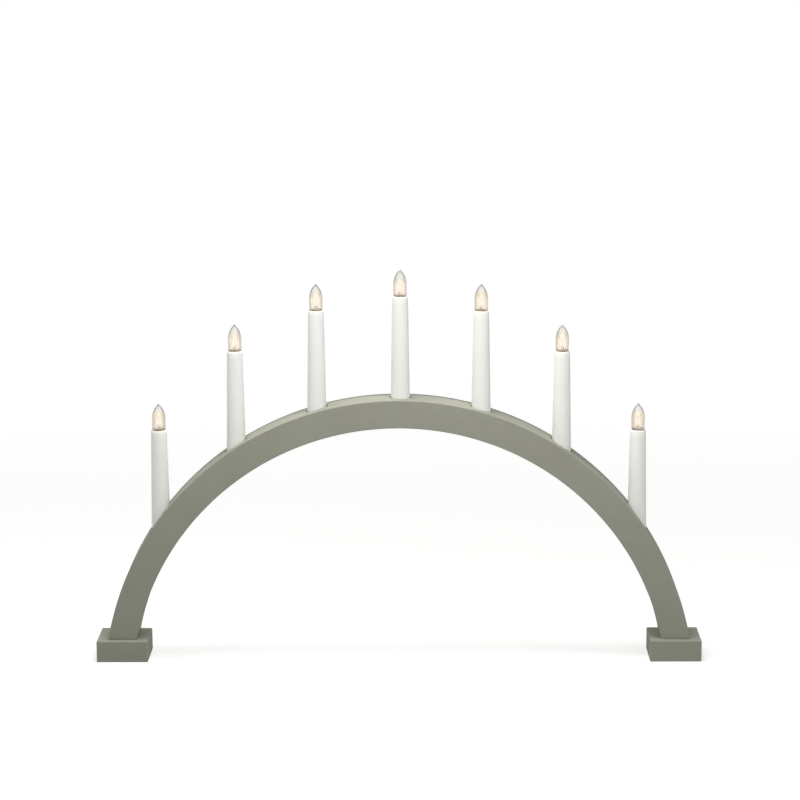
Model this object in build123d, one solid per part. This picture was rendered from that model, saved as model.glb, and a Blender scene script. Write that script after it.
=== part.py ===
from build123d import *
import math
import os

# Electric candle arch: a painted wooden bow on two block feet, with seven white candle tubes.
# Millimetres, +Z up, +X along the arch, front towards -Y, origin on the floor below the crown.
# Each tube holds a lampholder, and each lamp screws out of it.

# Bow and feet
arch_radius = 283.6
arch_thickness = 27.0
arch_depth = 36.0
crown_height = 254.2
foot_width = 49.0
foot_depth = 48.0
foot_height = 20.5
edge_break = 0.8
edge_round = 1.0

# Fixings between the bow and its feet
dowel_diameter = 8.0
dowel_length = 24.0
dowel_chamfer = 0.8
dowel_end_gap = 0.5
dowel_spacing = 21.0
screw_length = 42.0
screw_diameter = 4.0
screw_head_diameter = 8.0
screw_head_height = 2.4
screw_point = 4.0
screw_sink = 0.5
recess_width = 0.9
recess_length = 4.2
recess_depth = 1.3
fit_gap = 0.05

# Candles along the bow, as shares of the arch radius; the middle one stands a little off the crown
station_shares = (-0.803, -0.544, -0.272, 0.008, 0.278, 0.548, 0.804)
seat_depth = 6.0
seat_clearance = 0.5

# Lamp thread, right-handed, for small screw lamps of 10 mm
thread_diameter = 9.53
thread_pitch = 1.814
thread_depth = 0.5
thread_clearance = 0.15
thread_root_width = 1.1
thread_crest_width = 0.4
thread_turns = 4

# Lamp
glass_diameter = 13.2
glass_wall = 0.6
glass_base_round = 1.2
glass_lift = 0.9
glass_height = 24.0
glass_point_height = 12.0
glass_side_pull_share = 0.55
glass_tip_pull_share = 0.22
neck_diameter = 7.2
neck_length = 6.0
cement_gap = 0.15
cap_top = 0.3
cap_height = 9.9
cap_floor = 0.5
cap_thread_margin = 0.7
insulator_diameter = 5.4
insulator_clearance = 0.3
insulator_height = 1.2
insulator_drop = 0.9
button_diameter = 3.6
button_height = 0.9
stem_diameter = 3.2
stem_flange = 0.8
stem_top = 3.0
lead_spacing = 2.6
filament_spacing = 3.2
filament_bottom = 6.0
filament_top = 17.0
filament_bend = 1.4
filament_wire = 0.5
filament_embed = 1.0

# Lampholder in the top of each tube
shell_wall = 0.35
shell_length = 9.4
holder_wall = 0.9
holder_length = 24.0
holder_ledge = 0.5
holder_floor = 2.2
holder_skirt_wall = 1.2
spring_thickness = 0.3
spring_width = 3.0
spring_rise = 1.65
spring_bend = 0.5
spring_base_length = 5.4
spring_tongue_length = 4.2
contact_gap = 0.05

# Candle tube
tube_length = 103.2
tube_head_wall = 1.3
tube_wall = 1.2
tube_taper = 3.3
tube_shoulder = 1.8
tube_top_wall = 1.6
mouth_clearance = 0.6
tube_head_bore_margin = 2.0

# Wire channel under the bow, its cover, and the wires
channel_width = 9.0
channel_depth = 7.0
cover_width = 14.0
cover_thickness = 1.5
cover_gap = 0.2
wire_diameter = 1.8
wire_hole_diameter = 8.0
wire_lane = 1.6
link_layer = 5.0
return_layer = 2.8
wire_bend = 5.5
terminal_offset = 2.2
bend_rise = 6.5
bend_height = 40.0
channel_step_angle = 5.0
sharp_turn_angle = 30.0
run_share = 0.45

# Cord bush in the back of the right foot
bush_bore = 6.0
bush_wall = 1.6
bush_length = 12.0
bush_flange_width = 1.6
bush_flange_thickness = 1.5
wire_way_diameter = 9.0
wire_end_gap = 0.4

# One overrun for every cut that leaves a face
overrun = 2.0

# Places worked out from the sizes above
arch_centre_z = crown_height - arch_radius
inner_radius = arch_radius - arch_thickness
middle_radius = arch_radius - arch_thickness / 2
leg_x = math.sqrt(middle_radius**2 - (foot_height - arch_centre_z) ** 2)
way_z = foot_height / 2

thread_radius = thread_diameter / 2
root_radius = thread_radius - thread_depth
shell_radius = thread_radius + thread_clearance
shell_outer_radius = shell_radius + shell_wall
holder_radius = shell_outer_radius + fit_gap + holder_wall
tube_bore_radius = holder_radius + fit_gap
tube_top_radius = tube_bore_radius + tube_head_wall
tube_base_radius = tube_top_radius + tube_taper / 2
mouth_radius = thread_radius + mouth_clearance
seat_radius = tube_base_radius + seat_clearance

# Heights in a candle's own frame, where zero is the top of its tube
cap_bottom = cap_top - cap_height
cap_thread_start = cap_bottom + cap_thread_margin
holder_top = -tube_top_wall
shell_bottom = holder_top - shell_length
button_bottom = cap_bottom - insulator_drop - button_height
spring_top = button_bottom - contact_gap
floor_top = spring_top - spring_rise
floor_bottom = floor_top - holder_floor
holder_bottom = holder_top - holder_length


def turned(points):
    """A solid turned about the Z axis from an outline of radius and height."""
    outline = make_face(Polyline(*points, close=True))
    return revolve(Plane.XZ * outline, Axis.Z)


def disc_about_arch(radius, width):
    """A disc about the arch's own axis, which runs front to back."""
    return Pos(0, 0, arch_centre_z) * Rot(90, 0, 0) * Cylinder(radius, width)


def above_feet(lift):
    """A block that holds everything from a little above the feet up."""
    size = 2 * arch_radius + overrun
    block = Box(size, size, size, align=(Align.CENTER, Align.CENTER, Align.MIN))
    return Pos(0, 0, foot_height + lift) * block


def upright(radius, length):
    """A cylinder that stands on the origin."""
    return Cylinder(radius, length, align=(Align.CENTER, Align.CENTER, Align.MIN))


def arch_top(x):
    """Height of the bow's outer face at a distance from its middle."""
    return arch_centre_z + math.sqrt(arch_radius**2 - x**2)


def seat_floor(x):
    """Height of the flat floor that a candle tube stands on."""
    return arch_top(abs(x) + seat_radius) - seat_depth


def tube_top(x):
    return seat_floor(x) + tube_length


def hole_angle(x):
    """Angle from upright of the hole that brings a candle's wires to the channel."""
    return math.atan2(x, seat_floor(x) - arch_centre_z)


def outward(angle):
    return Vector(math.sin(angle), 0, math.cos(angle))


def on_arch(angle, radius, lane):
    """A point on a circle about the arch's axis, in a lane to the front or back."""
    return Vector(0, lane, arch_centre_z) + outward(angle) * radius


def candle_stations():
    return [share * arch_radius for share in station_shares]


def dowel_places():
    return [(side * leg_x, row * dowel_spacing / 2) for side in (-1, 1) for row in (-1, 1)]


def bow():
    """The arch with candle seats, wire holes, wire channel and fixing holes."""
    ring = disc_about_arch(arch_radius, arch_depth)
    ring -= disc_about_arch(inner_radius, arch_depth + overrun)
    ring = chamfer(ring.edges().filter_by(GeomType.CIRCLE), edge_break)
    body = ring & above_feet(0)
    body -= disc_about_arch(inner_radius + cover_thickness, cover_width)
    body -= disc_about_arch(inner_radius + channel_depth, channel_width)
    for x in candle_stations():
        body -= Pos(x, 0, seat_floor(x)) * upright(seat_radius, tube_length)
        body -= wire_hole(x)
    for x, y in dowel_places():
        depth = dowel_length / 2 + dowel_end_gap
        body -= Pos(x, y, foot_height) * upright(dowel_diameter / 2 + fit_gap, depth)
    for side in (-1, 1):
        depth = screw_sink + screw_length + dowel_end_gap
        body -= Pos(side * leg_x, 0, 0) * upright(screw_diameter / 2 + fit_gap, depth)
    return body


def wire_hole(x):
    """A hole square to the bow's underside, from the channel into a candle's seat."""
    angle = hole_angle(x)
    start = inner_radius + (channel_depth + cover_thickness) / 2
    floor_centre = Vector(x, 0, seat_floor(x) - arch_centre_z)
    radius = wire_hole_diameter / 2
    length = floor_centre.length - start + radius * abs(math.tan(angle))
    hole_plane = Plane(on_arch(angle, start, 0), x_dir=(0, 1, 0), z_dir=outward(angle))
    return hole_plane * upright(radius, length)


def foot(side):
    """A block foot: left is -1, right is 1 and takes the supply wires to the cord bush."""
    block = Box(foot_width, foot_depth, foot_height, align=(Align.CENTER, Align.CENTER, Align.MIN))
    bottom_edges = block.edges().group_by(Axis.Z)[0]
    block = fillet(block.edges() - bottom_edges, edge_round)
    body = Pos(side * leg_x, 0, 0) * block
    hole_depth = dowel_length / 2 + dowel_end_gap
    for x, y in dowel_places():
        if x * side > 0:
            hole = upright(dowel_diameter / 2 + fit_gap, hole_depth)
            body -= Pos(x, y, foot_height - hole_depth) * hole
    body -= Pos(side * leg_x, 0, 0) * screw_hole()
    if side > 0:
        body -= wire_way()
    return body


def screw_hole():
    """Clearance and countersink for a foot screw, from the foot's underside up."""
    shank = screw_diameter / 2 + fit_gap
    head = screw_head_diameter / 2 + fit_gap
    return turned(
        [
            (0, 0),
            (head, 0),
            (head, screw_sink),
            (shank, screw_sink + screw_head_height),
            (shank, foot_height + overrun),
            (0, foot_height + overrun),
        ]
    )


def wire_way_x():
    """Middle of the two supply wires where the channel meets the foot."""
    return (channel_end_x(link_layer) + channel_end_x(return_layer)) / 2


def channel_end_x(layer):
    radius = inner_radius + layer
    return math.sqrt(radius**2 - (foot_height - arch_centre_z) ** 2)


def wire_way():
    """The way down from the channel and back to the bush's seat, as one cut."""
    radius = wire_way_diameter / 2
    back = foot_depth / 2
    down = Pos(wire_way_x(), 0, way_z) * upright(radius, foot_height)
    across = Rot(-90, 0, 0) * upright(radius, back)
    seat = Rot(-90, 0, 0) * upright(bush_bore / 2 + bush_wall + fit_gap, bush_length)
    flange = Rot(-90, 0, 0) * upright(flange_radius() + fit_gap, back)
    place = Pos(wire_way_x(), 0, way_z)
    cut = down + place * across + place * Sphere(radius)
    cut += place * Pos(0, back - bush_length, 0) * seat
    cut += place * Pos(0, back - bush_flange_thickness, 0) * flange
    return cut


def flange_radius():
    return bush_bore / 2 + bush_wall + bush_flange_width


def cord_bush():
    """Flanged lining of the cord's hole, flush with the foot's back face."""
    body_radius = bush_bore / 2 + bush_wall
    shape = turned(
        [
            (bush_bore / 2, 0),
            (body_radius, 0),
            (body_radius, bush_length - bush_flange_thickness),
            (flange_radius(), bush_length - bush_flange_thickness),
            (flange_radius(), bush_length),
            (bush_bore / 2, bush_length),
        ]
    )
    return Pos(wire_way_x(), foot_depth / 2 - bush_length, way_z) * Rot(-90, 0, 0) * shape


def foot_dowel():
    shape = Cylinder(dowel_diameter / 2, dowel_length)
    return chamfer(shape.edges().filter_by(GeomType.CIRCLE), dowel_chamfer)


def foot_screw():
    """Countersunk wood screw with a cross recess, head down and point up."""
    shank = screw_diameter / 2
    shape = turned(
        [
            (0, 0),
            (screw_head_diameter / 2, 0),
            (shank, screw_head_height),
            (shank, screw_length - screw_point),
            (0, screw_length),
        ]
    )
    slot = Box(recess_length, recess_width, 2 * recess_depth)
    return Pos(0, 0, screw_sink) * (shape - slot - Rot(0, 0, 90) * slot)


def candle_tube():
    """Tapered tube with a rounded shoulder and a mouth for the lamp's cap."""
    head_end = holder_bottom - tube_head_bore_margin
    base_bore = tube_base_radius - tube_wall
    flat = tube_top_radius - tube_shoulder
    outline = [
        Line((base_bore, -tube_length), (tube_base_radius, -tube_length)),
        Line((tube_base_radius, -tube_length), (tube_top_radius, -tube_shoulder)),
        CenterArc((flat, -tube_shoulder), tube_shoulder, 0, 90),
        Line((flat, 0), (mouth_radius, 0)),
        Line((mouth_radius, 0), (mouth_radius, holder_top)),
        Line((mouth_radius, holder_top), (tube_bore_radius, holder_top)),
        Line((tube_bore_radius, holder_top), (tube_bore_radius, head_end)),
        Line((tube_bore_radius, head_end), (base_bore, -tube_length)),
    ]
    return revolve(Plane.XZ * make_face(outline), Axis.Z)


def lampholder():
    """Insulating body: bore for the screw shell, floor for the contact, skirt for the wires."""
    shell_bore = shell_outer_radius + fit_gap
    well = shell_radius - holder_ledge
    skirt = holder_radius - holder_skirt_wall
    body = Pos(0, 0, holder_bottom) * upright(holder_radius, holder_length)
    body -= Pos(0, 0, shell_bottom) * upright(shell_bore, holder_length)
    body -= Pos(0, 0, floor_top) * upright(well, holder_length)
    body -= Pos(0, 0, holder_bottom) * upright(skirt, floor_bottom - holder_bottom)
    return body


def screw_shell():
    """Brass sleeve of the lampholder, as wide inside as the lamp's thread needs."""
    top = holder_top - fit_gap
    return turned(
        [
            (shell_radius, shell_bottom),
            (shell_outer_radius, shell_bottom),
            (shell_outer_radius, top),
            (shell_radius, top),
        ]
    )


def contact_spring():
    """Sprung leaf that lies on the lampholder's floor and turns back under the lamp."""
    low = floor_top + spring_thickness / 2
    high = spring_top - spring_thickness / 2
    end = spring_base_length / 2
    points = [(-end, 0, low), (end, 0, low), (end, 0, high), (end - spring_tongue_length, 0, high)]
    path = FilletPolyline(*points, radius=spring_bend)
    section = Plane(path @ 0, x_dir=(0, 1, 0), z_dir=path % 0) * Rectangle(spring_width, spring_thickness)
    return sweep(section, path=path)


def glass_form(inset):
    """The envelope filled in: flat base with a rounded edge, straight side and pointed top."""
    half = glass_diameter / 2
    radius = half - inset
    flat = half - glass_base_round
    base = glass_lift + inset
    side_bottom = glass_lift + glass_base_round
    tip = glass_lift + glass_height - inset
    side_top = glass_lift + glass_height - glass_point_height
    side_pull = side_top + glass_side_pull_share * (tip - side_top)
    outline = [
        Line((0, base), (flat, base)),
        CenterArc((flat, side_bottom), glass_base_round - inset, -90, 90),
        Line((radius, side_bottom), (radius, side_top)),
        Bezier((radius, side_top), (radius, side_pull), (glass_tip_pull_share * radius, tip), (0, tip)),
        Line((0, tip), (0, base)),
    ]
    return revolve(Plane.XZ * make_face(outline), Axis.Z)


def lamp_glass():
    """Clear pointed envelope of one wall thickness, with an open neck below it."""
    neck = neck_diameter / 2
    length = neck_length + glass_lift + glass_wall
    body = glass_form(0) + Pos(0, 0, -neck_length) * upright(neck, length)
    body -= glass_form(glass_wall)
    return body - Pos(0, 0, -neck_length) * upright(neck - glass_wall, length)


def lamp_cap():
    """Brass screw cap with a hole for the base contact. Its thread is drawn as rings at its pitch."""
    bore = neck_diameter / 2 + cement_gap
    hole = insulator_diameter / 2 + insulator_clearance
    outline = [(bore, cap_bottom + cap_floor), (hole, cap_bottom + cap_floor), (hole, cap_bottom)]
    outline.append((root_radius, cap_bottom))
    for turn in range(thread_turns):
        middle = cap_thread_start + turn * thread_pitch
        outline.append((root_radius, middle - thread_root_width / 2))
        outline.append((thread_radius, middle - thread_crest_width / 2))
        outline.append((thread_radius, middle + thread_crest_width / 2))
        outline.append((root_radius, middle + thread_root_width / 2))
    outline += [(root_radius, cap_top), (bore, cap_top)]
    return turned(outline)


def base_contact():
    """Insulator with a solder button, on the lamp's axis under its cap."""
    low = cap_bottom - insulator_drop
    button = button_diameter / 2
    return turned(
        [
            (0, low + insulator_height),
            (insulator_diameter / 2, low + insulator_height),
            (insulator_diameter / 2, cap_bottom),
            (button, low),
            (button, low - button_height / 2),
            (button / 2, low - button_height),
            (0, low - button_height),
        ]
    )


def filament_mount():
    """Glass stem with its two leads and the tall hairpin filament, as one piece."""
    flange = neck_diameter / 2 - glass_wall - fit_gap
    stem = turned(
        [
            (0, -neck_length),
            (flange, -neck_length),
            (flange, stem_flange - neck_length),
            (stem_diameter / 2, stem_flange - neck_length),
            (stem_diameter / 2, stem_top),
            (0, stem_top),
        ]
    )
    lead = lead_spacing / 2
    leg = filament_spacing / 2
    points = [
        (-lead, 0, stem_top - filament_embed),
        (-leg, 0, filament_bottom),
        (-leg, 0, filament_top),
        (leg, 0, filament_top),
        (leg, 0, filament_bottom),
        (lead, 0, stem_top - filament_embed),
    ]
    path = FilletPolyline(*points, radius=filament_bend)
    section = Plane(path @ 0, z_dir=path % 0) * Circle(filament_wire / 2)
    return stem + sweep(section, path=path)


def wire_drop(x, side, lane, layer):
    """A wire's points from a lampholder down its tube and wire hole to the channel."""
    angle = hole_angle(x)
    floor = seat_floor(x)
    terminal = x + side * terminal_offset
    return [
        Vector(terminal, lane, tube_top(x) + floor_bottom),
        Vector(terminal, lane, floor + bend_height),
        Vector(x, lane, floor) + outward(angle) * bend_rise,
        on_arch(angle, inner_radius + layer, lane),
    ]


def channel_run(start, end, lane, layer):
    """Evenly spaced points along the channel between two angles, ends left out."""
    count = round(abs(end - start) / math.radians(channel_step_angle))
    angles = [start + (end - start) * step / count for step in range(1, count)]
    return [on_arch(angle, inner_radius + layer, lane) for angle in angles]


def supply_end(lane, layer):
    """A supply wire's points from the channel's end through the right foot to the bush."""
    x = channel_end_x(layer)
    end = foot_depth / 2 - bush_length - wire_end_gap
    return [Vector(x, lane, foot_height), Vector(x, lane, way_z), Vector(x, end, way_z)]


def wire(points):
    """Round wire along straight runs, with arcs as large as the runs or the holes allow."""
    radii = []
    for before, here, after in zip(points, points[1:], points[2:]):
        turn = (here - before).get_angle(after - here)
        run = min((here - before).length, (after - here).length)
        radius = run_share * run / math.tan(math.radians(turn / 2))
        if turn > sharp_turn_angle:
            radius = min(radius, wire_bend)
        radii.append(radius)
    path = FilletPolyline(*points, radius=radii)
    section = Plane(path @ 0, z_dir=path % 0) * Circle(wire_diameter / 2)
    solid = sweep(section, path=path)
    length = path.length
    filled = solid.volume / (length * math.pi * wire_diameter**2 / 4)
    print(f"wire {length:.1f} mm, least bend {min(radii):.1f} mm, volume share {filled:.4f}")
    return solid


def link_wires():
    """Six wires that join each lampholder to the next, in two lanes by turns."""
    stations = candle_stations()
    wires = []
    for index, (x, next_x) in enumerate(zip(stations, stations[1:])):
        lane = wire_lane if index % 2 == 0 else -wire_lane
        points = wire_drop(x, 1, lane, link_layer)
        points += channel_run(hole_angle(x), hole_angle(next_x), lane, link_layer)
        points += reversed(wire_drop(next_x, -1, lane, link_layer))
        wires.append(wire(points))
    return wires


def supply_wires():
    """The two ends of the string: from the last lampholder and, below it, from the first."""
    stations = candle_stations()
    wires = []
    for x, side, lane, layer in (
        (stations[-1], 1, wire_lane, link_layer),
        (stations[0], -1, -wire_lane, return_layer),
    ):
        leg_end = math.atan2(channel_end_x(layer), foot_height - arch_centre_z)
        points = wire_drop(x, side, lane, layer)
        points += channel_run(hole_angle(x), leg_end, lane, layer)
        points += supply_end(lane, layer)
        wires.append(wire(points))
    return wires


def wire_cover():
    """Thin strip let into the bow's underside, over the channel."""
    strip = disc_about_arch(inner_radius + cover_thickness - cover_gap, cover_width - 2 * cover_gap)
    strip -= disc_about_arch(inner_radius, cover_width)
    return strip & above_feet(cover_gap)


def write(name, solids):
    """One file for one node, from a single solid or a group of separate solids."""
    shape = Compound(children=solids) if isinstance(solids, list) else solids
    shape.label = name
    export_step(shape, os.path.join("parts", name + ".step"))


def write_candles():
    """The seven candles: each piece is made once and set at every station."""
    pieces = {
        "candle_tube": candle_tube(),
        "lampholder": lampholder(),
        "screw_shell": screw_shell(),
        "lamp_glass": lamp_glass(),
        "lamp_cap": lamp_cap(),
        "lamp_filament": filament_mount(),
        "lamp_base_contact": base_contact(),
    }
    for number, x in enumerate(candle_stations(), start=1):
        place = Pos(x, 0, tube_top(x))
        for name, piece in pieces.items():
            write(f"{name}_{number}", place * piece)
    spring = contact_spring()
    write("contact_springs", [Pos(x, 0, tube_top(x)) * spring for x in candle_stations()])


def main():
    os.makedirs("parts", exist_ok=True)
    write("bow", bow())
    write("left_foot", foot(-1))
    write("right_foot", foot(1))
    write("cord_bush", cord_bush())
    dowel = foot_dowel()
    write("foot_dowels", [Pos(x, y, foot_height) * dowel for x, y in dowel_places()])
    screw = foot_screw()
    write("foot_screws", [Pos(side * leg_x, 0, 0) * screw for side in (-1, 1)])
    write("wire_cover", wire_cover())
    write("link_wires", link_wires())
    write("supply_wires", supply_wires())
    write_candles()


main()
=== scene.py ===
import math
import bpy
from mathutils import Matrix, Vector


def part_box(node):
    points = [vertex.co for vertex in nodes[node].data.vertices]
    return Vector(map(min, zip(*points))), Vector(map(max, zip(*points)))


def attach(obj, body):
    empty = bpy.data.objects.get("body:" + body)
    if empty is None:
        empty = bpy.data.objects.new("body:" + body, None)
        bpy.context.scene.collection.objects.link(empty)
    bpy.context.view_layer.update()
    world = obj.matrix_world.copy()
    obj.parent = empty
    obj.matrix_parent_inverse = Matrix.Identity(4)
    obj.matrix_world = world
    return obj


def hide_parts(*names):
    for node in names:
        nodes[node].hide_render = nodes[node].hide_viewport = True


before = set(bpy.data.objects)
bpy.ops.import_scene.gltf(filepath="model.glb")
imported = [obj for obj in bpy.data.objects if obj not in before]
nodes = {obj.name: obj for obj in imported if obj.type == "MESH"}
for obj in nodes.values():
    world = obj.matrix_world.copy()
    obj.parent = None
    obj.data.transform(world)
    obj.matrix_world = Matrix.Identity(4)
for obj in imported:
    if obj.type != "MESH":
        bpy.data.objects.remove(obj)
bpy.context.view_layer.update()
mm = 0.001
candle_numbers = range(1, 8)
merge_distance = 0.001 * mm

# Bow, read from its box and from the section that it was cut to
bow_low, bow_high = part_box("bow")
foot_top = bow_low.z
crown = bow_high.z
rise = crown - foot_top
arch_radius = (bow_high.x**2 + rise**2) / (2 * rise)
arch_centre = Vector((0, 0, crown - arch_radius))
arch_thickness = 27.0 * mm
arch_depth = bow_high.y - bow_low.y
arch_steps = 180
edge_round = 1.0 * mm
edge_segments = 4
edge_nearness = edge_round / 8
leg_end_break = 0.8 * mm
leg_end_segments = 2
cut_margin = 6.0 * mm
seat_gap = 1.1 * mm
channel_width = 9.0 * mm
channel_depth = 7.0 * mm
cover_width = 14.0 * mm
cover_thickness = 1.5 * mm

# Candle tube, in a candle's own frame where zero is the top of its tube
tube_low, tube_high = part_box("candle_tube_1")
tube_length = tube_high.z - tube_low.z
tube_base_radius = (tube_high.x - tube_low.x) / 2
tube_taper = 3.3 * mm
tube_shoulder = 1.8 * mm
tube_wall = 1.2 * mm
tube_top_wall = 1.6 * mm
mouth_radius = 5.365 * mm
bore_radius = 6.265 * mm
bore_length = 27.6 * mm

# Lamp, in the same frame
lamp_sides = 64
stem_sides = 32
glass_radius = 6.6 * mm
glass_wall = 0.6 * mm
glass_lift = 0.5 * mm
glass_height = 24.4 * mm
glass_point = 13.2 * mm
glass_base_round = 0.6 * mm
side_pull_share = 0.45
tip_pull_share = 0.22
tip_radius_share = 0.004
point_rings = 16
round_rings = 5
neck_radius = 3.6 * mm
neck_length = 6.0 * mm
stem_radius = 1.2 * mm
stem_plug_radius = 2.9 * mm
stem_plug_top = 1.3 * mm
stem_neck_height = 0.6 * mm
stem_top = 3.2 * mm
stem_round = 0.5 * mm
stem_pinch_share = 0.5
stem_spread_share = 1.5
lead_radius = 0.16 * mm
lead_spacing = 1.8 * mm
filament_spacing = 2.4 * mm
filament_bottom = 4.6 * mm
filament_top = 15.6 * mm
coil_radius = 0.34 * mm
coil_wire_radius = 0.1 * mm
coil_pitch = 0.42 * mm
coil_steps_per_turn = 10
cap_top = 0.0 * mm
cap_height = 9.6 * mm
cap_wall_radius = 4.265 * mm
cap_wall = 0.3 * mm
cap_hole_radius = 3.1 * mm
cap_rim_radius = 5.1 * mm
cap_rim_height = 0.5 * mm
cap_flare_height = 1.1 * mm
thread_margin = 0.7 * mm
thread_sink = 0.05 * mm
thread_radius = 4.765 * mm
thread_pitch = 1.814 * mm
thread_turns = 4
thread_steps = 48
fine_wire_roundness = 1
wire_roundness = 3

# Angles in degrees under which neighbouring faces are shaded as one smooth face
bow_smooth_angle = 30
cap_smooth_angle = 35
turned_smooth_angle = 40
wire_smooth_angle = 50

# Camera found from the photograph's own lines, for a square frame
camera_place = Vector((24.9, -2421.4, 729.5)) * mm
camera_pitch = 0.195
camera_yaw = -0.0095
camera_roll = -0.004
camera_reach = 100
focal_length = 117.0
sensor_width = 36.0

# Floor, in metres, and the glow that makes it white to the eye
floor_size = 12
floor_drop = 0.1 * mm
floor_near, floor_far = 0.3, 1.6
near_glow, far_glow = 0.66, 1.0

# Softboxes, in metres and watts: each one's place, what it faces, its width and height, and its power
bow_middle = Vector((0, 0, 0.22))
candle_middle = Vector((0, 0, 0.3))
front_place, front_aim = Vector((0.13, -0.465, 0.45)), Vector((0.16, 0, 0.17))
front_size, front_power = (1.04, 0.25), 2.54
top_place = Vector((-0.03, -0.08, 0.95))
top_size, top_power = (0.45, 0.12), 4.6
crown_place, crown_aim = Vector((-0.11, 0.14, 0.62)), Vector((-0.08, 0, 0.24))
crown_size, crown_power = (0.3, 0.2), 0.75
left_place, right_place = Vector((-1.0, -0.15, 0.35)), Vector((1.0, -0.15, 0.35))
side_size = (0.6, 0.4)
left_power, right_power = 1.95, 1.26
back_place = Vector((0, 1.1, 0.8))
back_size, back_power = (1.0, 0.6), 1.4
fill_strength = 0.05


def linear(hex_colour):
    """An sRGB hex colour as the linear RGBA that a socket takes."""
    channels = [int(hex_colour[i:i + 2], 16) / 255 for i in (1, 3, 5)]
    return [c / 12.92 if c <= 0.04045 else ((c + 0.055) / 1.055) ** 2.4 for c in channels] + [1.0]


def put(material, kind, inputs=None, **settings):
    """Adds a node: settings are its own properties, inputs are values or links for its sockets."""
    node = material.node_tree.nodes.new(kind)
    for name, value in settings.items():
        setattr(node, name, value)
    for name, value in (inputs or {}).items():
        if isinstance(value, bpy.types.NodeSocket):
            material.node_tree.links.new(value, node.inputs[name])
        else:
            node.inputs[name].default_value = value
    return node


def new_material(name):
    """An empty node material with its output node."""
    material = bpy.data.materials.new(name)
    material.use_nodes = True
    material.node_tree.nodes.clear()
    return material, put(material, "ShaderNodeOutputMaterial")


def finish_material(material, output, shader):
    """Joins the shader to the material's output."""
    material.node_tree.links.new(shader.outputs[0], output.inputs["Surface"])
    return material


def painted_wood():
    """Matt paint rolled on smooth wood: grey-green, faintly cloudy, with a fine grain.

    Along the back of the bow's top the colour is darkened, as painted shade. A roller's grain is finer,
    and is drawn this coarse so that it shows.
    """
    patch_size, stroke_size, grain_size = 45 * mm, 9 * mm, 1.4 * mm
    patch_detail, stroke_detail, grain_detail = 3.0, 4.0, 2.0
    cloud_low, cloud_high = 0.7, 1.3
    stroke_low, stroke_high = 0.3, 0.7
    back_shade_from_share, back_shade_to_share = 0.76, 0.96
    smoothest, roughest = 0.68, 0.78
    grain_strength, grain_depth = 0.25, 0.06 * mm
    material, output = new_material("matt_painted_wood")
    place = put(material, "ShaderNodeTexCoord").outputs["Object"]
    patches = put(
        material,
        "ShaderNodeTexNoise",
        {"Vector": place, "Scale": 1 / patch_size, "Detail": patch_detail},
    )
    strokes = put(
        material,
        "ShaderNodeTexNoise",
        {"Vector": place, "Scale": 1 / stroke_size, "Detail": stroke_detail},
    )
    grain = put(
        material,
        "ShaderNodeTexNoise",
        {"Vector": place, "Scale": 1 / grain_size, "Detail": grain_detail},
    )
    clouds = put(
        material,
        "ShaderNodeMath",
        {0: patches.outputs["Fac"], 1: strokes.outputs["Fac"]},
        operation="ADD",
    )
    shade = put(
        material,
        "ShaderNodeMapRange",
        {"Value": clouds.outputs[0], "From Min": cloud_low, "From Max": cloud_high},
    )
    base_coat = put(
        material,
        "ShaderNodeMix",
        {0: shade.outputs[0], 6: linear("#99998C"), 7: linear("#9E9E92")},
        data_type="RGBA",
    )
    # Painted shade: the colour darkens to #63635B towards the back edge of the bow's top
    depth = put(material, "ShaderNodeAttribute", attribute_name="top_depth").outputs["Fac"]
    back_shade = put(
        material,
        "ShaderNodeMapRange",
        {"Value": depth, "From Min": back_shade_from_share, "From Max": back_shade_to_share},
        interpolation_type="SMOOTHSTEP",
    )
    colour = put(
        material,
        "ShaderNodeMix",
        {0: back_shade.outputs[0], 6: base_coat.outputs[2], 7: linear("#63635B")},
        data_type="RGBA",
    )
    gloss = put(
        material,
        "ShaderNodeMapRange",
        {
            "Value": strokes.outputs["Fac"],
            "From Min": stroke_low,
            "From Max": stroke_high,
            "To Min": smoothest,
            "To Max": roughest,
        },
    )
    bump = put(
        material,
        "ShaderNodeBump",
        {"Height": grain.outputs["Fac"], "Strength": grain_strength, "Distance": grain_depth},
    )
    shader = put(
        material,
        "ShaderNodeBsdfPrincipled",
        {
            "Base Color": colour.outputs[2],
            "Roughness": gloss.outputs[0],
            "Normal": bump.outputs[0],
            "Specular IOR Level": 0.06,
        },
    )
    return finish_material(material, output, shader)


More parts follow.
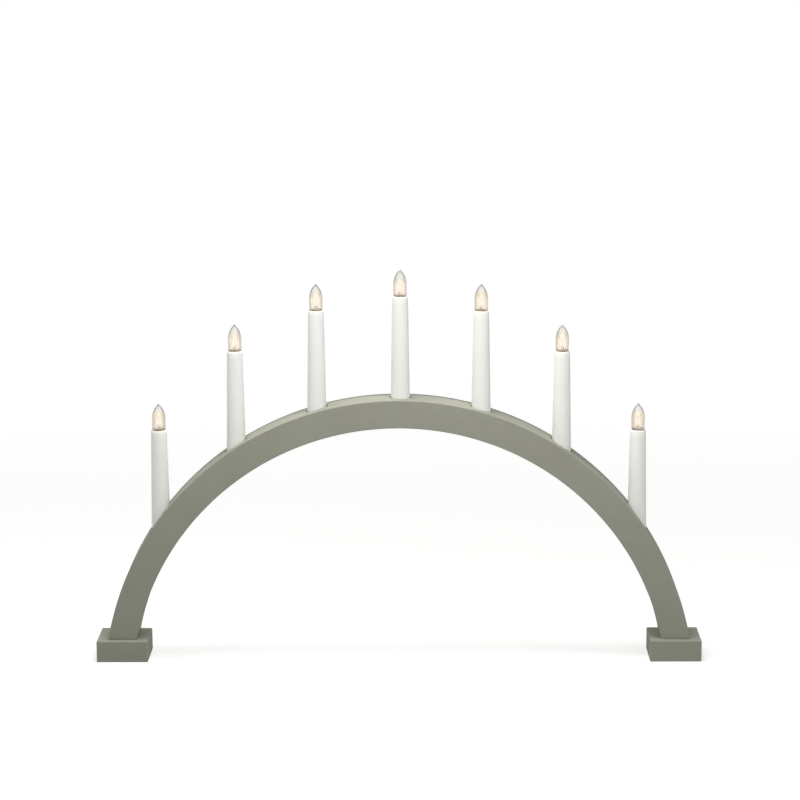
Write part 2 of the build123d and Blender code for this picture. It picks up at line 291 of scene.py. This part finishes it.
def white_plastic():
    """Moulded polypropylene: milky white and satin, with a painted warm glow near its top for the lamp's
    light.

    The moulded grain is finer on a real tube, and is drawn this coarse so that it shows.
    """
    flow_size, grain_size = 14 * mm, 0.9 * mm
    pattern_detail = 2.0
    flow_low, flow_high = 0.3, 0.7
    smoothest, roughest = 0.34, 0.44
    grain_strength, grain_depth = 0.12, 0.03 * mm
    painted_glow_depth_share, painted_glow_strength = 0.09, 0.07
    material, output = new_material("moulded_white_polypropylene")
    place = put(material, "ShaderNodeTexCoord").outputs["Object"]
    flow = put(
        material,
        "ShaderNodeTexNoise",
        {"Vector": place, "Scale": 1 / flow_size, "Detail": pattern_detail},
    )
    grain = put(
        material,
        "ShaderNodeTexNoise",
        {"Vector": place, "Scale": 1 / grain_size, "Detail": pattern_detail},
    )
    colour = put(
        material,
        "ShaderNodeMix",
        {0: flow.outputs["Fac"], 6: linear("#EDEDE8"), 7: linear("#F1F1ED")},
        data_type="RGBA",
    )
    gloss = put(
        material,
        "ShaderNodeMapRange",
        {
            "Value": flow.outputs["Fac"],
            "From Min": flow_low,
            "From Max": flow_high,
            "To Min": smoothest,
            "To Max": roughest,
        },
    )
    bump = put(
        material,
        "ShaderNodeBump",
        {"Height": grain.outputs["Fac"], "Strength": grain_strength, "Distance": grain_depth},
    )
    # Painted light: the tube emits a warm glow near its top, standing in for the lamp shining through
    depth = put(material, "ShaderNodeAttribute", attribute_name="below_top").outputs["Fac"]
    glow = put(
        material,
        "ShaderNodeMapRange",
        {
            "Value": depth,
            "From Min": 0.0,
            "From Max": painted_glow_depth_share,
            "To Min": painted_glow_strength,
            "To Max": 0.0,
        },
        interpolation_type="SMOOTHSTEP",
    )
    shader = put(
        material,
        "ShaderNodeBsdfPrincipled",
        {
            "Base Color": colour.outputs[2],
            "Roughness": gloss.outputs[0],
            "Normal": bump.outputs[0],
            "IOR": 1.49,
            "Emission Color": linear("#FFE9C6"),
            "Emission Strength": glow.outputs[0],
        },
    )
    return finish_material(material, output, shader)


def lamp_glass_material():
    """Clear blown glass of a lit lamp, coloured with painted light and shade: a painted peach glow by the
    filament, painted beige shade at its sides, and a painted grey rim and point.
    """
    material, output = new_material("clear_blown_glass")
    height = put(material, "ShaderNodeAttribute", attribute_name="lamp_height").outputs["Fac"]
    turned_away = put(material, "ShaderNodeLayerWeight", {"Blend": 0.5}).outputs["Facing"]
    # Where each change of tone begins and ends, as shares of the height or of the turn from the eye
    change_shares = {
        "glow": (height, 0.38, 0.56),
        "point": (height, 0.56, 0.72),
        "tip": (height, 0.86, 0.97),
        "side": (turned_away, 0.07, 0.3),
        "rim": (turned_away, 0.3, 0.62),
    }
    changes = {}
    for name, (value, begin, end) in change_shares.items():
        changes[name] = put(
            material,
            "ShaderNodeMapRange",
            {"Value": value, "From Min": begin, "From Max": end},
            interpolation_type="SMOOTHSTEP",
        ).outputs[0]
    # Painted tones: hot and lit are a painted glow of the filament, and the side and rim tones are
    # painted shade
    tones = {}
    for name, hot, lit, clear in (
        ("middle", "#FBF5ED", "#F4EBE0", "#F7F6F1"),
        ("side", "#E3DCCF", "#E2DBCE", "#EDECE7"),
        ("rim", "#D6D0C5", "#C7C1B6", "#62625F"),
    ):
        warm = put(
            material,
            "ShaderNodeMix",
            {0: changes["glow"], 6: linear(hot), 7: linear(lit)},
            data_type="RGBA",
        )
        tones[name] = put(
            material,
            "ShaderNodeMix",
            {0: changes["point"], 6: warm.outputs[2], 7: linear(clear)},
            data_type="RGBA",
        ).outputs[2]
    body = put(
        material,
        "ShaderNodeMix",
        {0: changes["side"], 6: tones["middle"], 7: tones["side"]},
        data_type="RGBA",
    )
    edged = put(
        material,
        "ShaderNodeMix",
        {0: changes["rim"], 6: body.outputs[2], 7: tones["rim"]},
        data_type="RGBA",
    )
    # Painted shade: the point turns grey towards its tip
    colour = put(
        material,
        "ShaderNodeMix",
        {0: changes["tip"], 6: edged.outputs[2], 7: linear("#C4C4C1")},
        data_type="RGBA",
    )
    shader = put(
        material,
        "ShaderNodeBsdfPrincipled",
        {"Base Color": colour.outputs[2], "Roughness": 0.01, "IOR": 1.5, "Transmission Weight": 1.0},
    )
    return finish_material(material, output, shader)


def ground_foot():
    """Ground lower face of the envelope, where it meets the cap: matt, grey-beige, a little cloudy."""
    cloud_size = 1.5 * mm
    cloud_detail = 2.0
    material, output = new_material("ground_glass_foot")
    place = put(material, "ShaderNodeTexCoord").outputs["Object"]
    clouds = put(
        material,
        "ShaderNodeTexNoise",
        {"Vector": place, "Scale": 1 / cloud_size, "Detail": cloud_detail},
    )
    colour = put(
        material,
        "ShaderNodeMix",
        {0: clouds.outputs["Fac"], 6: linear("#D5CCC1"), 7: linear("#E5DDD2")},
        data_type="RGBA",
    )
    shader = put(
        material,
        "ShaderNodeBsdfPrincipled",
        {"Base Color": colour.outputs[2], "Roughness": 0.7},
    )
    return finish_material(material, output, shader)


def stem_glass():
    """Lead glass of the lamp's stem: milky, a little warm, with faint drawn streaks."""
    streak_size = 1.2 * mm
    streak_detail = 2.0
    material, output = new_material("drawn_lead_glass")
    place = put(material, "ShaderNodeTexCoord").outputs["Object"]
    streaks = put(
        material,
        "ShaderNodeTexNoise",
        {"Vector": place, "Scale": 1 / streak_size, "Detail": streak_detail},
    )
    colour = put(
        material,
        "ShaderNodeMix",
        {0: streaks.outputs["Fac"], 6: linear("#DDD3C6"), 7: linear("#EFE8DC")},
        data_type="RGBA",
    )
    shader = put(
        material,
        "ShaderNodeBsdfPrincipled",
        {"Base Color": colour.outputs[2], "Roughness": 0.4, "IOR": 1.5, "Transmission Weight": 0.15},
    )
    return finish_material(material, output, shader)


def lit_filament():
    """Glowing tungsten coil: warm white, a little hotter in patches along the wire."""
    patch_size = 2 * mm
    material, output = new_material("glowing_tungsten")
    place = put(material, "ShaderNodeTexCoord").outputs["Object"]
    patches = put(material, "ShaderNodeTexNoise", {"Vector": place, "Scale": 1 / patch_size})
    colour = put(
        material,
        "ShaderNodeMix",
        {0: patches.outputs["Fac"], 6: linear("#FFEBCF"), 7: linear("#FFF6E8")},
        data_type="RGBA",
    )
    shader = put(
        material,
        "ShaderNodeBsdfPrincipled",
        {
            "Base Color": linear("#3A3632"),
            "Roughness": 0.5,
            "Emission Color": colour.outputs[2],
            "Emission Strength": 1.3,
        },
    )
    return finish_material(material, output, shader)


def speckled(name, dark, light, grain_size, roughness, metallic=0.0):
    """A plain moulded or pressed finish whose two close tones and gloss follow one fine grain."""
    grain_detail = 3.0
    grain_strength, grain_depth = 0.2, 0.02 * mm
    roughness_spread = 0.06
    material, output = new_material(name)
    place = put(material, "ShaderNodeTexCoord").outputs["Object"]
    grain = put(
        material,
        "ShaderNodeTexNoise",
        {"Vector": place, "Scale": 1 / grain_size, "Detail": grain_detail},
    )
    colour = put(
        material,
        "ShaderNodeMix",
        {0: grain.outputs["Fac"], 6: linear(dark), 7: linear(light)},
        data_type="RGBA",
    )
    gloss = put(
        material,
        "ShaderNodeMapRange",
        {
            "Value": grain.outputs["Fac"],
            "To Min": roughness - roughness_spread,
            "To Max": roughness + roughness_spread,
        },
    )
    bump = put(
        material,
        "ShaderNodeBump",
        {"Height": grain.outputs["Fac"], "Strength": grain_strength, "Distance": grain_depth},
    )
    shader = put(
        material,
        "ShaderNodeBsdfPrincipled",
        {
            "Base Color": colour.outputs[2],
            "Roughness": gloss.outputs[0],
            "Normal": bump.outputs[0],
            "Metallic": metallic,
        },
    )
    return finish_material(material, output, shader)


def fitting_finishes():
    """The fittings' finishes, whose real grains are finer and are drawn this coarse so that they show."""
    finishes = {}
    # Pressed brass: warm yellow, bright, with an uneven soft shine
    finishes["brass"] = speckled("pressed_brass", "#C2A25E", "#D6BA78", 1.5 * mm, 0.28, metallic=1.0)
    # Painted hardboard: the bow's grey-green, a little darker and smoother
    finishes["hardboard"] = speckled("painted_hardboard", "#8B8B80", "#98988C", 2.0 * mm, 0.6)
    # Moulded nylon: near black with a dull satin sheen
    finishes["nylon"] = speckled("moulded_black_nylon", "#141414", "#222222", 0.8 * mm, 0.45)
    # Plain turned beech: light brown, flecked and dry
    finishes["beech"] = speckled("plain_beech", "#B98F62", "#CFAA7C", 1.0 * mm, 0.65)
    # Zinc-plated steel: cold pale grey with a soft bright sheen
    finishes["zinc"] = speckled("zinc_plated_steel", "#A9ACAE", "#C6C8CA", 0.9 * mm, 0.32, metallic=1.0)
    # Extruded PVC: warm off-white, smooth and dull, and a shade darker on the supply wires
    finishes["link_pvc"] = speckled("white_pvc", "#DAD8CF", "#E8E6DE", 1.2 * mm, 0.45)
    finishes["supply_pvc"] = speckled("white_pvc_sheath", "#D6D4CB", "#E6E4DC", 1.2 * mm, 0.45)
    # Moulded resin of the lampholders: cream and dull
    finishes["resin"] = speckled("moulded_holder_resin", "#DCD9CE", "#E8E6DC", 1.1 * mm, 0.5)
    # Vitrite: black glass under the cap, smooth and shiny
    finishes["vitrite"] = speckled("black_vitrite", "#1B1B1D", "#2A2A2C", 0.7 * mm, 0.3)
    # Drawn nickel wire: grey, fairly bright metal
    finishes["nickel"] = speckled("nickel_wire", "#8A8782", "#A5A29C", 0.6 * mm, 0.35, metallic=1.0)
    return finishes


def deselect():
    """Leaves nothing selected."""
    bpy.ops.object.select_all(action="DESELECT")


def edit_all():
    """Enters edit mode with the whole piece selected."""
    bpy.ops.object.mode_set(mode="EDIT")
    bpy.ops.mesh.select_all(action="SELECT")


def leave_edit():
    """Goes back to object mode."""
    bpy.ops.object.mode_set(mode="OBJECT")


def pick(piece):
    """Makes one piece the only one selected, and the active one."""
    deselect()
    piece.select_set(True)
    bpy.context.view_layer.objects.active = piece


def settle(name):
    """Names the active piece and puts its place into its mesh."""
    piece = bpy.context.object
    piece.name = name
    piece.data.name = name
    bpy.ops.object.transform_apply(location=True, rotation=True, scale=True)
    return piece


def apply_modifier(piece, kind, **settings):
    """Adds one modifier to the piece and applies it."""
    bpy.context.view_layer.objects.active = piece
    modifier = piece.modifiers.new(kind.lower(), kind)
    for name, value in settings.items():
        setattr(modifier, name, value)
    bpy.ops.object.modifier_apply(modifier=modifier.name)


def tidy_mesh(piece):
    """Merges doubled points and turns all faces outwards."""
    pick(piece)
    edit_all()
    bpy.ops.mesh.remove_doubles(threshold=merge_distance)
    bpy.ops.mesh.normals_make_consistent(inside=False)
    leave_edit()


def smooth(piece, angle):
    """Shades faces that meet under the angle as one."""
    pick(piece)
    bpy.ops.object.shade_smooth_by_angle(angle=math.radians(angle))


def cut_by(piece, cutter):
    """Cuts one piece by another, which is then deleted."""
    apply_modifier(piece, "BOOLEAN", object=cutter, operation="DIFFERENCE", solver="EXACT")
    bpy.data.objects.remove(cutter)


def select_faces(piece, wanted):
    """Enters edit mode with only the faces selected whose centres are wanted."""
    edit_all()
    bpy.ops.mesh.select_all(action="DESELECT")
    leave_edit()
    for face in piece.data.polygons:
        face.select = wanted(face.center)
    bpy.ops.object.mode_set(mode="EDIT")
    bpy.ops.mesh.select_mode(type="FACE")


def leave_faces():
    """Goes back to object mode, with points to be selected next time."""
    bpy.ops.mesh.select_mode(type="VERT")
    leave_edit()


def bow_section(name):
    """The bow's section at the crown: rounded corners, with the wire channel and its cover's rebate."""
    inner = arch_centre.z + arch_radius - arch_thickness
    deselect()
    bpy.ops.mesh.primitive_plane_add(
        size=1, location=(0, 0, inner + arch_thickness / 2), rotation=(0, math.pi / 2, 0)
    )
    bpy.context.object.scale = (arch_thickness, arch_depth, 1)
    section = settle(name)
    edit_all()
    bpy.ops.mesh.bevel(offset=edge_round, segments=edge_segments, affect="VERTICES")
    slots = ((cover_width / 2, inner + cover_thickness), (channel_width / 2, inner + channel_depth))
    for half_width, top in slots:
        for place, normal in (
            ((0, half_width, 0), (0, 1, 0)),
            ((0, -half_width, 0), (0, 1, 0)),
            ((0, 0, top), (0, 0, 1)),
        ):
            bpy.ops.mesh.select_all(action="SELECT")
            bpy.ops.mesh.bisect(plane_co=place, plane_no=normal)
    leave_edit()
    select_faces(section, lambda at: any(abs(at.y) < half and at.z < top for half, top in slots))
    bpy.ops.mesh.delete(type="FACE")
    leave_faces()
    return section


def make_bow(stations):
    """The arch: its section spun about the arch's axis, with level leg ends and round candle seats."""
    leg_angle = math.acos((foot_top - arch_centre.z) / arch_radius)
    half_angle = leg_angle + math.asin(cut_margin / arch_radius)
    turn_back = Matrix.Rotation(-half_angle, 4, "Y")
    bow = bow_section("painted_bow")
    bow.data.transform(Matrix.Translation(arch_centre) @ turn_back @ Matrix.Translation(-arch_centre))
    edit_all()
    bpy.ops.mesh.spin(steps=arch_steps, angle=2 * half_angle, center=arch_centre, axis=(0, -1, 0))
    leave_edit()
    tidy_mesh(bow)
    edit_all()
    bpy.ops.mesh.bisect(plane_co=(0, 0, foot_top), plane_no=(0, 0, 1), use_fill=True, clear_inner=True)
    leave_edit()
    select_faces(bow, lambda at: at.z < foot_top + edge_nearness)
    bpy.ops.mesh.bevel(offset=leg_end_break, segments=leg_end_segments, affect="EDGES")
    leave_faces()
    drill_length = arch_thickness + cut_margin
    for place, foot_z in stations:
        deselect()
        bpy.ops.mesh.primitive_cylinder_add(
            vertices=lamp_sides,
            radius=tube_base_radius + seat_gap,
            depth=drill_length,
            location=(place.x, 0, foot_z + drill_length / 2),
        )
        cut_by(bow, settle("seat_drill"))
    tidy_mesh(bow)
    smooth(bow, bow_smooth_angle)
    apply_modifier(bow, "WEIGHTED_NORMAL", keep_sharp=True)
    mark_top_depth(bow)
    return bow


def mark_top_depth(bow):
    """Keeps how far back each point of the bow's top lies, from 0 at its front to 1, for the painted
    shade there.
    """
    flat_depth = arch_depth - 2 * edge_round
    depth = bow.data.attributes.new("top_depth", "FLOAT", "POINT")
    for point, value in zip(bow.data.vertices, depth.data):
        on_top = (point.co - arch_centre).xz.length > arch_radius - edge_nearness
        value.value = 0.5 + point.co.y / flat_depth if on_top else 0.0


def turn_rings(name, rings, sides, close_top=False):
    """A turned shape drawn ring by ring from its first ring of radius and height."""
    deselect()
    radius, z = rings[0]
    bpy.ops.mesh.primitive_circle_add(vertices=sides, radius=radius, location=(0, 0, z))
    edit_all()
    for next_radius, next_z in rings[1:]:
        bpy.ops.mesh.extrude_region_move(TRANSFORM_OT_translate={"value": (0, 0, next_z - z)})
        share = next_radius / radius
        bpy.ops.transform.resize(value=(share, share, 1), center_override=(0, 0, next_z))
        radius, z = next_radius, next_z
    if close_top:
        bpy.ops.mesh.merge(type="CENTER")
    leave_edit()
    piece = settle(name)
    tidy_mesh(piece)
    return piece


def make_tube():
    """One candle tube: tapered wall, rounded shoulder and the mouth for the lamp's cap, open below."""
    flat = tube_base_radius - tube_taper / 2 - tube_shoulder
    rings = [(tube_base_radius - tube_wall, -tube_length), (tube_base_radius, -tube_length)]
    for step in range(round_rings + 1):
        turn = math.pi / 2 * step / round_rings
        rings.append((flat + tube_shoulder * math.cos(turn), tube_shoulder * (math.sin(turn) - 1)))
    rings += [
        (mouth_radius, 0),
        (mouth_radius, -tube_top_wall),
        (bore_radius, -tube_top_wall),
        (bore_radius, -bore_length),
        (tube_base_radius - tube_wall, -tube_length),
    ]
    tube = turn_rings("tube_pattern", rings, lamp_sides)
    smooth(tube, turned_smooth_angle)
    depth = tube.data.attributes.new("below_top", "FLOAT", "POINT")
    for point, value in zip(tube.data.vertices, depth.data):
        value.value = -point.co.z / tube_length
    return tube


def glass_rings():
    """The envelope's outline: neck, flat base, rounded edge, straight side and curved point."""
    base = glass_lift
    flat = glass_radius - glass_base_round
    rings = [(neck_radius, -neck_length), (neck_radius, base), (flat, base)]
    for step in range(1, round_rings + 1):
        turn = math.pi / 2 * step / round_rings
        radius = flat + glass_base_round * math.sin(turn)
        rings.append((radius, base + glass_base_round * (1 - math.cos(turn))))
    tip = base + glass_height
    side_top = tip - glass_point
    for step in range(point_rings):
        t = step / point_rings
        s = 1 - t
        radius = glass_radius * (s**3 + 3 * s**2 * t + 3 * tip_pull_share * s * t**2)
        rise_share = 3 * side_pull_share * s**2 * t + 3 * s * t**2 + t**3
        rings.append((radius, side_top + glass_point * rise_share))
    rings.append((glass_radius * tip_radius_share, tip))
    return rings


def make_glass():
    """One lamp's clear envelope, with its height along the glass kept for the finish."""
    glass = turn_rings("glass_pattern", glass_rings(), lamp_sides, close_top=True)
    apply_modifier(glass, "SOLIDIFY", thickness=glass_wall, offset=-1.0, use_even_offset=True)
    smooth(glass, turned_smooth_angle)
    height = glass.data.attributes.new("lamp_height", "FLOAT", "POINT")
    for point, value in zip(glass.data.vertices, height.data):
        value.value = max(0.0, (point.co.z - glass_lift) / glass_height)
    return glass


def wire(name, points, radius, roundness):
    """A round wire along a line of points, as a mesh with closed ends."""
    curve = bpy.data.curves.new(name, "CURVE")
    curve.dimensions = "3D"
    spline = curve.splines.new("POLY")
    spline.points.add(len(points) - 1)
    for point, place in zip(spline.points, points):
        point.co = (*place, 1)
    curve.bevel_depth = radius
    curve.bevel_resolution = roundness
    curve.use_fill_caps = True
    piece = bpy.data.objects.new(name, curve)
    bpy.context.scene.collection.objects.link(piece)
    pick(piece)
    bpy.ops.object.convert(target="MESH")
    tidy_mesh(piece)
    smooth(piece, wire_smooth_angle)
    return piece


def hairpin(distance):
    """A point and a direction on the filament's centre line: up one leg, round, and down the other."""
    half = filament_spacing / 2
    straight = filament_top - half - filament_bottom
    if distance < straight:
        return Vector((-half, 0, filament_bottom + distance)), Vector((0, 0, 1))
    turn = (distance - straight) / half
    if turn < math.pi:
        centre = Vector((0, 0, filament_top - half))
        along = Vector((math.sin(turn), 0, math.cos(turn)))
        return centre + half * Vector((-math.cos(turn), 0, math.sin(turn))), along
    down = distance - straight - half * math.pi
    return Vector((half, 0, filament_top - half - down)), Vector((0, 0, -1))


def make_filament():
    """The hairpin filament as one fine coil."""
    half = filament_spacing / 2
    length = 2 * (filament_top - half - filament_bottom) + math.pi * half
    count = round(length / coil_pitch * coil_steps_per_turn)
    across = Vector((0, 1, 0))
    points = []
    for step in range(count + 1):
        centre, along = hairpin(length * step / count)
        turn = 2 * math.pi * step / coil_steps_per_turn
        beside = across.cross(along)
        points.append(centre + coil_radius * (math.cos(turn) * beside + math.sin(turn) * across))
    return wire("filament_pattern", points, coil_wire_radius, fine_wire_roundness)


def make_leads():
    """The two nickel wires that carry the filament, from the pinched stem to the filament's ends."""
    pieces = []
    for side in (-1, 1):
        low = Vector((side * lead_spacing / 2, 0, stem_top - stem_radius))
        bend = Vector((side * lead_spacing / 2, 0, stem_top + stem_radius / 2))
        end = Vector((side * filament_spacing / 2, 0, filament_bottom + coil_pitch))
        pieces.append(wire("lead_pattern", [low, bend, end], lead_radius, wire_roundness))
    deselect()
    for piece in pieces:
        piece.select_set(True)
    bpy.context.view_layer.objects.active = pieces[0]
    bpy.ops.object.join()
    return bpy.context.object


def make_stem():
    """The glass stem: a plug in the envelope's neck, drawn in and pinched flat round the leads."""
    rings = [
        (stem_plug_radius, -neck_length),
        (stem_plug_radius, stem_plug_top),
        (stem_radius, stem_plug_top + stem_neck_height),
        (stem_radius, stem_top - stem_round),
        (stem_radius - stem_round / 3, stem_top - stem_round / 3),
        (stem_radius - stem_round, stem_top),
    ]
    stem = turn_rings("stem_pattern", rings, stem_sides)
    edit_all()
    bpy.ops.mesh.select_all(action="DESELECT")
    bpy.ops.mesh.select_mode(type="EDGE")
    bpy.ops.mesh.select_non_manifold()
    bpy.ops.mesh.edge_face_add()
    leave_edit()
    for point in stem.data.vertices:
        share = min(1, max(0, (point.co.z - stem_plug_top) / (stem_top - stem_plug_top)))
        point.co.y *= 1 - (1 - stem_pinch_share) * share
        point.co.x *= 1 + (stem_spread_share - 1) * share
    tidy_mesh(stem)
    smooth(stem, turned_smooth_angle)
    return stem


def make_cap():
    """The lamp's brass cap: a drawn cup with a flared and rolled rim that the glass sits on."""
    bottom = cap_top - cap_height
    rim_bottom = cap_top - cap_rim_height
    rings = [
        (cap_hole_radius, bottom + cap_wall),
        (cap_hole_radius, bottom),
        (cap_wall_radius - cap_wall, bottom),
        (cap_wall_radius, bottom + cap_wall),
        (cap_wall_radius, cap_top - cap_flare_height),
        (cap_rim_radius, rim_bottom),
        (cap_rim_radius, cap_top - cap_wall / 2),
        (cap_rim_radius - cap_wall / 2, cap_top),
        (cap_wall_radius - cap_wall, cap_top),
        (cap_wall_radius - cap_wall, bottom + cap_wall),
        (cap_hole_radius, bottom + cap_wall),
    ]
    cup = turn_rings("cap_pattern", rings, lamp_sides)
    smooth(cup, cap_smooth_angle)
    return cup


def make_thread():
    """One unbroken right-handed ridge wound round the cap at the lamp thread's pitch."""
    bottom = cap_top - cap_height + thread_margin
    radius = cap_wall_radius - thread_sink
    points = []
    for step in range(thread_turns * thread_steps + 1):
        turn = 2 * math.pi * step / thread_steps
        z = bottom + thread_pitch * step / thread_steps
        points.append(Vector((radius * math.cos(turn), radius * math.sin(turn), z)))
    return wire("thread_pattern", points, thread_radius - cap_wall_radius, wire_roundness)


def dress(piece, material):
    """Gives the whole piece one material."""
    piece.data.materials.clear()
    piece.data.materials.append(material)


def copy_to(pattern, name, place, material, body, slot, *replaced):
    """A copy of a pattern with its own mesh, set at a candle and riding on its body."""
    piece = pattern.copy()
    piece.data = pattern.data.copy()
    piece.name = name
    piece.data.name = name
    piece.data.transform(Matrix.Translation(place))
    bpy.context.scene.collection.objects.link(piece)
    dress(piece, material)
    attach(piece, body)
    if replaced:
        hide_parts(*replaced)
    return piece


def grind_foot(envelope, tube_top, material):
    """Gives the envelope's lowest face and its neck their ground finish."""
    envelope.data.materials.append(material)
    for face in envelope.data.polygons:
        if face.center.z < tube_top + glass_lift + glass_wall / 2:
            face.material_index = 1


def dress_fittings(paint, finishes):
    """Gives the solids that show as they were built their finishes."""
    worn = {
        "left_foot": paint,
        "right_foot": paint,
        "wire_cover": finishes["hardboard"],
        "cord_bush": finishes["nylon"],
        "foot_dowels": finishes["beech"],
        "foot_screws": finishes["zinc"],
        "link_wires": finishes["link_pvc"],
        "supply_wires": finishes["supply_pvc"],
        "contact_springs": finishes["brass"],
    }
    for number in candle_numbers:
        worn[f"lampholder_{number}"] = finishes["resin"]
        worn[f"screw_shell_{number}"] = finishes["brass"]
        worn[f"lamp_base_contact_{number}"] = finishes["vitrite"]
    for name, material in worn.items():
        dress(nodes[name], material)


def add_bow(stations, paint):
    """The painted bow, in place of its plainer solid."""
    bow = make_bow(stations)
    dress(bow, paint)
    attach(bow, "root")
    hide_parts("bow")


def add_candles(stations, finishes):
    """Each candle's tube, and its lamp, which rides on the body that unscrews."""
    tube, glass, filament = make_tube(), make_glass(), make_filament()
    leads, stem, cap, thread = make_leads(), make_stem(), make_cap(), make_thread()
    plastic, clear, ground = white_plastic(), lamp_glass_material(), ground_foot()
    tungsten, lead_glass = lit_filament(), stem_glass()
    brass, nickel = finishes["brass"], finishes["nickel"]
    in_glass = "filament_and_stem"
    for number, (place, _) in zip(candle_numbers, stations):
        body = f"lamp_{number}"
        glass_node, filament_node = f"lamp_glass_{number}", f"lamp_filament_{number}"
        copy_to(tube, f"tube_{number}", place, plastic, "root", "white_plastic", f"candle_tube_{number}")
        envelope = copy_to(glass, f"glass_{number}", place, clear, body, "clear_glass", glass_node)
        grind_foot(envelope, place.z, ground)
        copy_to(filament, f"filament_{number}", place, tungsten, body, in_glass, filament_node)
        copy_to(leads, f"leads_{number}", place, nickel, body, in_glass)
        copy_to(stem, f"stem_{number}", place, lead_glass, body, in_glass)
        copy_to(cap, f"cap_{number}", place, brass, body, "brass", f"lamp_cap_{number}")
        copy_to(thread, f"cap_thread_{number}", place, brass, body, "brass")
    for pattern in (tube, glass, filament, leads, stem, cap, thread):
        bpy.data.objects.remove(pattern)


def candle_places():
    """Each candle's tube top, and the height of its tube's foot."""
    places = []
    for number in candle_numbers:
        low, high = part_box(f"candle_tube_{number}")
        places.append((Vector(((low.x + high.x) / 2, 0, high.z)), low.z))
    return places


def seen_by_eye(owner):
    """One for the rays by which the eye sees a surface, straight or in metal and glass, or else zero."""
    rays = put(owner, "ShaderNodeLightPath").outputs
    seen = put(
        owner,
        "ShaderNodeMath",
        {0: rays["Is Camera Ray"], 1: rays["Is Glossy Ray"]},
        operation="MAXIMUM",
    )
    seen = put(
        owner,
        "ShaderNodeMath",
        {0: seen.outputs[0], 1: rays["Is Transmission Ray"]},
        operation="MAXIMUM",
    )
    return seen.outputs[0]


def add_floor():
    """A plain pale floor: white to the eye, with the object's faint shadow kept near it."""
    deselect()
    bpy.ops.mesh.primitive_plane_add(size=floor_size, location=(0, 0, -floor_drop))
    floor = settle("floor")
    material, output = new_material("pale_studio_floor")
    seen = seen_by_eye(material)
    place = put(material, "ShaderNodeTexCoord").outputs["Object"]
    distance = put(material, "ShaderNodeVectorMath", {0: place}, operation="LENGTH")
    glow = put(
        material,
        "ShaderNodeMapRange",
        {
            "Value": distance.outputs["Value"],
            "From Min": floor_near,
            "From Max": floor_far,
            "To Min": near_glow,
            "To Max": far_glow,
        },
    )
    strength = put(material, "ShaderNodeMath", {0: seen, 1: glow.outputs[0]}, operation="MULTIPLY")
    shader = put(
        material,
        "ShaderNodeBsdfPrincipled",
        {
            "Base Color": linear("#B4B4B2"),
            "Roughness": 0.9,
            "Specular IOR Level": 0.0,
            "Emission Color": linear("#FFFFFF"),
            "Emission Strength": strength.outputs[0],
        },
    )
    dress(floor, finish_material(material, output, shader))


def add_softbox(name, place, aim, size, power, shines=True):
    """One soft rectangular lamp, turned to what it lights, which shows in gloss or doesn't."""
    lamp = bpy.data.lights.new(name, "AREA")
    lamp.shape = "RECTANGLE"
    lamp.size, lamp.size_y = size
    lamp.energy = power
    holder = bpy.data.objects.new(name, lamp)
    holder.location = place
    holder.rotation_euler = (aim - place).to_track_quat("-Z", "Y").to_euler()
    holder.visible_glossy = shines
    bpy.context.scene.collection.objects.link(holder)


def add_light():
    """Softboxes near the bow, so that the feet are dimmer. Only the one behind shows in gloss."""
    add_softbox("front_softbox", front_place, front_aim, front_size, front_power, shines=False)
    add_softbox("top_softbox", top_place, bow_middle, top_size, top_power, shines=False)
    add_softbox("crown_softbox", crown_place, crown_aim, crown_size, crown_power, shines=False)
    add_softbox("left_softbox", left_place, candle_middle, side_size, left_power, shines=False)
    add_softbox("right_softbox", right_place, candle_middle, side_size, right_power, shines=False)
    add_softbox("back_softbox", back_place, bow_middle, back_size, back_power)


def add_backdrop():
    """A backdrop that is white to the eye and lights the object only by a faint fill."""
    world = bpy.data.worlds.new("studio")
    world.use_nodes = True
    bpy.context.scene.world = world
    world.node_tree.nodes.clear()
    strength = put(
        world,
        "ShaderNodeMapRange",
        {"Value": seen_by_eye(world), "To Min": fill_strength, "To Max": 1.0},
    )
    glow = put(
        world,
        "ShaderNodeBackground",
        {"Color": linear("#FFFFFF"), "Strength": strength.outputs[0]},
    )
    put(world, "ShaderNodeOutputWorld", {"Surface": glow.outputs[0]})


def add_camera():
    """The photograph's viewpoint, looking a little down."""
    camera = bpy.data.cameras.new("camera")
    camera.lens = focal_length
    camera.sensor_width = sensor_width
    camera.clip_end = camera_reach
    holder = bpy.data.objects.new("camera", camera)
    level = Vector((math.cos(camera_yaw), -math.sin(camera_yaw), 0))
    ahead = Vector(
        (
            math.sin(camera_yaw) * math.cos(camera_pitch),
            math.cos(camera_yaw) * math.cos(camera_pitch),
            -math.sin(camera_pitch),
        )
    )
    upward = level.cross(ahead)
    right = level * math.cos(camera_roll) + upward * math.sin(camera_roll)
    above = upward * math.cos(camera_roll) - level * math.sin(camera_roll)
    turn = Matrix((right, above, -ahead)).transposed().to_4x4()
    holder.matrix_world = Matrix.Translation(camera_place) @ turn
    bpy.context.scene.collection.objects.link(holder)
    bpy.context.scene.camera = holder


def main():
    """Sets up the studio, then dresses the arch and its candles."""
    bpy.context.scene.view_settings.view_transform = "Standard"
    add_camera()
    add_floor()
    add_light()
    add_backdrop()
    paint = painted_wood()
    finishes = fitting_finishes()
    stations = candle_places()
    dress_fittings(paint, finishes)
    add_bow(stations, paint)
    add_candles(stations, finishes)


main()
